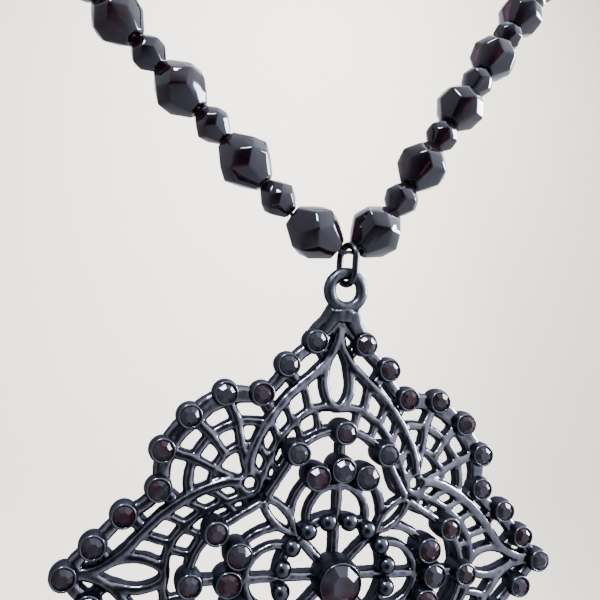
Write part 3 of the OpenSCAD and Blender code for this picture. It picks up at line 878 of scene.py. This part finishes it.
class NECKLACE_OT_thread(bpy.types.Operator):
    """Makes the twisted thread through the beads, the link and the clasp's ends"""

    bl_idname = "necklace.thread"
    bl_label = "Thread"

    def execute(self, context):
        settings = context.scene.necklace_beads
        low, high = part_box("link")
        middle = (low + high) / 2
        # The link's upper end rests on the thread
        lowest = Vector((middle.x, middle.y, high.z - LINK_HANG * MM - settings.thread / 2))
        low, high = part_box("clasp")
        # The thread's ends stand this deep in the clasp
        inside = Vector((1.5 * MM, 0, 0))
        level = (low + high) / 2
        points = [Vector((low.x, level.y, level.z)) + inside, *reversed(thread_side("left", lowest)), lowest,
                  *thread_side("right", lowest), Vector((high.x, level.y, level.z)) - inside]
        mesh = bpy.data.meshes.new("thread path")
        mesh.from_pydata(points, [(i, i + 1) for i in range(len(points) - 1)], [])
        nylon = bead_thread()
        thread = run_nodes(new_object("thread path", mesh), "Twist", "twisted_thread", {
            "Width": settings.thread, "Lay": settings.lay, "Step": settings.lay / 7, "Material": nylon})
        # Smooth along the plies, flat on their cut ends
        for polygon in thread.data.polygons:
            polygon.use_smooth = len(polygon.vertices) == 4
        finish(thread, nylon, "strand", "thread", "thread")
        return {"FINISHED"}


class NECKLACE_OT_clasp(bpy.types.Operator):
    """Makes the barrel clasp"""

    bl_idname = "necklace.clasp"
    bl_label = "Clasp"

    def execute(self, context):
        low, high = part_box("clasp")
        half, r = (high.x - low.x) / 2, (high.z - low.z) / 2
        # One half of the outline: a flat end, a rounded shoulder and a groove beside the middle
        profile = [(0.0, -0.985 * half), (0.17 * r, -0.985 * half), (0.3 * r, -half)]
        profile += [(r * (0.62 + 0.38 * math.sin(t)), -half + 0.8 * MM * (1 - math.cos(t)))
                    for t in np.linspace(0.05, math.pi / 2, 7)]
        profile += [(r, -0.2 * half), (0.94 * r, -0.16 * half), (0.94 * r, -0.13 * half), (r, -0.09 * half)]
        profile += [(radius, -height) for radius, height in reversed(profile)]
        settings = context.scene.necklace_casting
        metal = black_nickel("Polished black nickel", settings.hollows, settings.ridges, 0.1, 0.05)
        finish(lathe("clasp_barrel", profile, 48), metal, "strand", "gunmetal", "clasp",
               place=Matrix.Translation((low + high) / 2) @ Matrix.Rotation(math.pi / 2, 4, "Y"))
        return {"FINISHED"}


class NECKLACE_OT_link(bpy.types.Operator):
    """Makes the wire link that carries the pendant"""

    bl_idname = "necklace.link"
    bl_label = "Link"

    def execute(self, context):
        low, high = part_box("link")
        wire = LINK_WIRE * MM
        link = oval_wire("wire_link", LINK_WIDTH * MM / 2, (high.z - low.z - wire) / 2, wire)
        # Its two colours are the painted shade in its hollows and the painted highlight on its ridges
        metal = black_nickel("Drawn gunmetal wire", linear("#1d1c21"), linear("#4a4a52"), 0.16, 0.05)
        finish(link, metal, "strand", "gunmetal", "link",
               place=Matrix.Translation((low + high) / 2) @ Matrix.Rotation(LINK_TURN, 4, "Z"))
        return {"FINISHED"}


# The pendant


def round_copies(spots):
    """Places of the spots of one eighth in all eight, each once, in the pendant's own frame."""
    found = []
    for x, y in spots:
        for quarter in range(4):
            for flip in (1, -1):
                a = math.radians(90 * quarter)
                u = flip * x
                place = (u * math.cos(a) - y * math.sin(a), u * math.sin(a) + y * math.cos(a))
                if all(math.dist(place, other) > 0.05 for other, _ in found):
                    found.append((place, a))
    return [((x * MM, y * MM, 0), (0, 0, a), (1, 1, 1)) for (x, y), a in found]


def setting_places(kind):
    """Places of the cups of a kind."""
    places = round_copies(SPOTS[kind])
    if kind == "border":
        # The top tip carries the ring, and no cup
        places += [p for p in round_copies([TIP_SPOT]) if p[0][1] < 20 * MM]
    return places


def cup(name, radius, foot, top, stone):
    """A stone's cup: a barrel with a domed back, a rounded belly and a rim rolled over the stone."""
    r, seat = radius * MM, (stone / 2 + 0.01) * MM
    low, high, lip = foot * MM, top * MM, 0.93 * r
    profile = [
        # the domed back, and the belly up to the rim
        (0, low), (0.45 * r, low + 0.02 * MM), (0.78 * r, low + 0.14 * MM), (0.95 * r, low + 0.4 * MM),
        (1.03 * r, low + 0.4 * (high - low)), (1.02 * r, high - 0.75 * MM), (0.96 * r, high - 0.4 * MM)]
    # The rim's half round, and the floor inside it
    profile += [(seat + (lip - seat) * (0.5 + 0.5 * math.cos(t)), high - 0.2 * MM + 0.2 * MM * math.sin(t))
                for t in np.linspace(0.1, math.pi - 0.1, 7)]
    profile += [(seat, high - 0.3 * MM), (0.9 * seat, high - 0.62 * MM), (0, high - 0.66 * MM)]
    return lathe(name, profile, 28)


class NECKLACE_OT_plate(bpy.types.Operator):
    """Makes the pierced net of the pendant with its border"""

    bl_idname = "necklace.plate"
    bl_label = "Net"

    def execute(self, context):
        settings = context.scene.necklace_casting
        metal = cast_metal(settings)
        arches = wires("arches", ARCH_WIRES, EIGHTHS, settings, metal, settings.depth, net_top)
        fans = wires("fans", FAN_WIRES, CORNERS, settings, metal, settings.depth, net_top)
        border = wires("border", BORDER_WIRES, EIGHTHS, settings, metal, 0.1, lambda x, y: BORDER_TOP)
        net = fuse("pendant_net", [arches, fans, border], metal, settings.voxel, settings.rounds)
        finish(net, metal, "pendant", "gunmetal", "pendant_casting")
        return {"FINISHED"}


class NECKLACE_OT_rosette(bpy.types.Operator):
    """Makes the rosette in the pendant's middle with its balls"""

    bl_idname = "necklace.rosette"
    bl_label = "Rosette"

    def execute(self, context):
        settings = context.scene.necklace_casting
        metal = cast_metal(settings)
        rods = wires("rods", ROSETTE_WIRES, EIGHTHS, settings, metal, 0.6, lambda x, y: ROSETTE_TOP)
        rods = fuse("rosette_rods", [rods], metal, settings.voxel, settings.rounds)
        finish(rods, metal, "pendant", "gunmetal")

        r = BALL * MM
        outline = [(r * math.sin(t), -r * math.cos(t)) for t in np.linspace(0, math.pi, 15)[1:-1]]
        ball = lathe("ball", [(0, -r), *outline, (0, r)], 24)
        half_step = 360 / BALLS / 2
        spots = on_circle((0, 0), BALL_RING, half_step, 360 - half_step, BALLS)
        places = [((x * MM, y * MM, BALL_HEIGHT * MM), (0, 0, 0), (1, 1, 1)) for x, y in spots]
        # Its two colours are the painted shade in the hollows and the painted highlight on the ridges
        metal = black_nickel(
            "Polished black nickel balls", settings.hollows, linear("#4c4f57"), 0.12, 0.15, -0.6)
        finish(copies("rosette_balls", ball, places, metal), metal, "pendant", "gunmetal")
        return {"FINISHED"}


class NECKLACE_OT_cups(bpy.types.Operator):
    """Makes the cups of the stones"""

    bl_idname = "necklace.cups"
    bl_label = "Cups"

    def execute(self, context):
        settings = context.scene.necklace_casting
        # Its two colours are the painted shade in the hollows and the painted highlight on the ridges
        metal = black_nickel(
            "Polished black nickel cups", settings.hollows, linear("#63676f"), 0.1, 0.35, -0.6)
        for kind, sizes in CUPS.items():
            cups = copies(kind + "_cups", cup("cup", *sizes), setting_places(kind), metal)
            finish(cups, metal, "pendant", "gunmetal")
        finish(cup("middle_cup", *MIDDLE_CUP), metal, "pendant", "gunmetal")
        return {"FINISHED"}


class NECKLACE_OT_ring(bpy.types.Operator):
    """Makes the pendant's ring and the neck under it"""

    bl_idname = "necklace.ring"
    bl_label = "Ring"

    def execute(self, context):
        settings = context.scene.necklace_casting
        # Its two colours are the painted shade in its hollows and the painted highlight on its ridges
        metal = black_nickel("Rough cast gunmetal", linear("#222226"), linear("#5d5f66"), 0.26, 0.9)
        wire, reach = RING_WIRE * MM, RING_REACH * MM
        ring = oval_wire("ring", reach, reach, wire)
        # The inner edge that the link touches stays where the solid has it
        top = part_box("pendant_casting")[1].z - pendant_frame().translation.z
        height = top - SOLID_WIRE * MM + wire / 2 - reach
        ring.data.transform(Matrix.Translation((0, height, RING_HEIGHT * MM)) @
                            Matrix.Rotation(-math.pi / 2, 4, "X"))
        roof = wires("roof", ROOF_WIRES, HALVES, settings, metal, 0.3, roof_top)
        fused = fuse("pendant_ring", [ring, roof], metal, 0.1 * MM, 5, 60000, 0.1 * MM)
        finish(fused, metal, "pendant", "gunmetal")
        return {"FINISHED"}


def stone_mesh(settings, diameter):
    """A round cut stone: a table, eight main and sixteen small crown facets, a girdle and a cut back."""
    r = diameter / 2
    # Height of the table, half heights of the girdle over and under its middle, and depth of the back
    crown, over, under, back = 0.36 * r, 0.04 * r, 0.06 * r, 0.55 * r
    slope = math.atan2(0.36, 1 - settings.table) + 0.02
    planes = [((0, 0, 1), crown), ((0, 0, -1), back)]
    for k in range(16):
        a = math.radians(22.5 * k + 11.25)
        planes += [facet(a, math.radians(56), r, over), facet(a, math.pi / 2, r, 0)]
    for k in range(8):
        a = math.radians(45 * k)
        planes += [facet(a, slope, settings.table * r, crown), facet(a, math.radians(180 - 42), r, -under)]
    return from_bmesh("stone", cut_solid(planes))


class NECKLACE_OT_stones(bpy.types.Operator):
    """Makes the cut stones"""

    bl_idname = "necklace.stones"
    bl_label = "Stones"

    def execute(self, context):
        settings = context.scene.necklace_stones
        glass = garnet_glass(settings)
        tilt = random.Random(5)
        gems = {}
        for kind, (_, _, top, width) in CUPS.items():
            # Set by hand, so each stone sits a little differently in its cup, just under its rim
            places = [((p[0], p[1], (top - 0.1) * MM), (tilt.gauss(0, settings.tilt),
                                                        tilt.gauss(0, settings.tilt),
                                                        tilt.uniform(0, math.pi / 4)), size)
                      for p, _, size in setting_places(kind)]
            gems[kind] = copies(kind + "_gems", stone_mesh(settings, width * MM), places, glass)
        finish(gems["border"], glass, "pendant", "stone_glass", "border_stones")
        rosette = join("rosette_gems", [gems["arch"], gems["cluster"]])
        finish(rosette, glass, "pendant", "stone_glass", "rosette_stones")
        # The middle stone leans a little to its upper right
        _, _, top, width = MIDDLE_CUP
        leaned = [math.radians(a) for a in (-2.6, 2.4, 3.0)]
        middle = copies("middle_gem", stone_mesh(settings, width * MM),
                        [((0, 0, (top - 0.1) * MM), leaned, (1, 1, 1))], glass)
        finish(middle, glass, "pendant", "stone_glass", "middle_stone")
        return {"FINISHED"}


# The stage, in metres

# The camera, fitted to the stones' places in the photograph: its place, its axes, and its focal
# length in pixels of a picture 600 wide
CAMERA_PLACE = (-0.01628, -0.17510, -0.13682)
CAMERA_RIGHT = (0.9572, -0.2808, 0.0705)
CAMERA_FORWARD = (0.2778, 0.9594, 0.0495)
CAMERA_UP = (-0.0815, -0.0278, 0.9963)
FOCAL_LENGTH, PICTURE_WIDTH, SENSOR_WIDTH = 630, 600, 36

# The way from the pendant to the dark screen
SCREEN_WAY = (-0.28, -0.96, 0.0)

# Soft lights: name, place, target, width and height, power over the window's, colour and spread
PENDANT = (0.007, -0.112, -0.155)
LIGHTS = [
    ("Window", (0.38, -0.12, -0.04), PENDANT, (0.26, 0.18), 1.0, "#f4f7ff", 180),
    ("Sky", (-0.12, -0.26, 0.16), PENDANT, (0.10, 0.05), 0.23, "#dfe9ff", 180),
    ("Backdrop", (0.17, 0.02, 0.45), (0.2, 0.45, -0.05), (0.3, 0.15), 0.48, "#fffaf2", 105),
]


def make_backdrop(colour):
    """Makes the floor and the backdrop of one sheet of paper, with a bend between them."""
    low, high = CAD_BOX
    floor, wall, bend, wide = low[2] - 0.3, high[1] + 0.45, 0.2, 1.6
    outline = [(-2.2, floor), (wall - bend, floor)]
    outline += [(wall - bend + bend * math.sin(t), floor + bend * (1 - math.cos(t)))
                for t in np.linspace(0.1, math.pi / 2, 12)]
    outline += [(wall, floor + 1.6)]
    points = [(x, y, z) for y, z in outline for x in (-wide, wide)]
    mesh = bpy.data.meshes.new("backdrop")
    mesh.from_pydata(points, [], [(i, i + 1, i + 3, i + 2) for i in range(0, len(points) - 2, 2)])
    mesh.shade_smooth()
    mesh.materials.append(studio_paper(colour))
    backdrop = new_object("backdrop", mesh)
    # The beads and the metal don't mirror the lit paper, as if it lay in their own shadow
    backdrop.visible_glossy = False


def studio_world(daylight):
    """The light from all sides: pale, but for a dark screen in front, and lighter on the right and above."""
    world = bpy.data.worlds.new("Studio")
    world.use_nodes = True
    tree = world.node_tree
    way = add(tree, "ShaderNodeTexCoord").outputs["Generated"]
    ways = add(tree, "ShaderNodeSeparateXYZ", {0: way})
    front = add(tree, "ShaderNodeVectorMath", {0: way, 1: SCREEN_WAY}, operation="DOT_PRODUCT")
    clear = add(tree, "ShaderNodeMapRange", {0: front.outputs["Value"], 1: 0.96, 2: 0.7})
    across = add(tree, "ShaderNodeMapRange", {0: ways.outputs["X"], 1: -0.5, 2: 0.6, 3: 0.25})
    lift = add(tree, "ShaderNodeMapRange", {0: ways.outputs["Z"], 1: -0.4, 2: 0.6, 3: 0.45})
    share = add(tree, "ShaderNodeMath", {0: across, 1: lift}, operation="MULTIPLY")
    both = add(tree, "ShaderNodeMath", {0: share, 1: clear}, operation="MULTIPLY")
    sky = add(tree, "ShaderNodeMix", {0: both, 6: linear("#24242b"), 7: linear("#e8ebf6")}, data_type="RGBA")
    # Seen past the floor's edge, the studio is plain and pale
    seen = add(tree, "ShaderNodeLightPath").outputs["Is Camera Ray"]
    shown = add(tree, "ShaderNodeMix", {0: seen, 6: sky.outputs[2], 7: linear("#dcdbd8")}, data_type="RGBA")
    background = tree.nodes["Background"]
    tree.links.new(shown.outputs[2], background.inputs["Color"])
    background.inputs["Strength"].default_value = daylight
    return world


class NECKLACE_OT_stage(bpy.types.Operator):
    """Makes the floor and backdrop, the lights and the camera"""

    bl_idname = "necklace.stage"
    bl_label = "Stage"

    def execute(self, context):
        settings = context.scene.necklace_stage
        make_backdrop(settings.paper)
        context.scene.world = studio_world(settings.daylight)
        for name, place, target, size, power, colour, spread in LIGHTS:
            data = bpy.data.lights.new(name, "AREA")
            data.shape, data.size, data.size_y = "RECTANGLE", *size
            data.energy, data.spread = settings.window * power, math.radians(spread)
            data.color = linear(colour)[:3]
            light = new_object(name, data)
            light.location = place
            light.rotation_euler = (Vector(target) - Vector(place)).to_track_quat("-Z", "Y").to_euler()

        data = bpy.data.cameras.new("Camera")
        data.sensor_width, data.lens = SENSOR_WIDTH, FOCAL_LENGTH * SENSOR_WIDTH / PICTURE_WIDTH
        data.clip_start, data.clip_end = 0.005, 20
        camera = new_object("Camera", data)
        turn = Matrix((CAMERA_RIGHT, CAMERA_UP, -Vector(CAMERA_FORWARD))).transposed().to_4x4()
        camera.matrix_world = Matrix.Translation(CAMERA_PLACE) @ turn
        context.scene.camera = camera
        return {"FINISHED"}


class NECKLACE_PT_panel(bpy.types.Panel):
    """Lists the necklace's settings and operators"""

    bl_idname = "NECKLACE_PT_panel"
    bl_label = "Statement Necklace"
    bl_space_type = "VIEW_3D"
    bl_region_type = "UI"
    bl_category = "Necklace"

    def draw(self, context):
        for group, operators in LAYOUT:
            box = self.layout.box()
            settings = getattr(context.scene, group)
            for name in settings.__annotations__:
                box.prop(settings, name)
            for operator in operators:
                box.operator(operator.bl_idname)


GROUPS = {
    "necklace_beads": BeadSettings,
    "necklace_stones": StoneSettings,
    "necklace_casting": CastingSettings,
    "necklace_stage": StageSettings,
}
LAYOUT = [
    ("necklace_beads", [NECKLACE_OT_beads, NECKLACE_OT_thread]),
    ("necklace_casting", [NECKLACE_OT_clasp, NECKLACE_OT_link, NECKLACE_OT_plate, NECKLACE_OT_rosette,
                          NECKLACE_OT_cups, NECKLACE_OT_ring]),
    ("necklace_stones", [NECKLACE_OT_stones]),
    ("necklace_stage", [NECKLACE_OT_stage]),
]
CLASSES = [*GROUPS.values(), *[operator for _, row in LAYOUT for operator in row], NECKLACE_PT_panel]


def register():
    for cls in CLASSES:
        bpy.utils.register_class(cls)
    for name, group in GROUPS.items():
        setattr(bpy.types.Scene, name, bpy.props.PointerProperty(type=group))


def unregister():
    for name in GROUPS:
        delattr(bpy.types.Scene, name)
    for cls in reversed(CLASSES):
        bpy.utils.unregister_class(cls)


def main():
    register()
    for _, operators in LAYOUT:
        for operator in operators:
            group, name = operator.bl_idname.split(".")
            getattr(getattr(bpy.ops, group), name)()


if __name__ == "__main__":
    main()
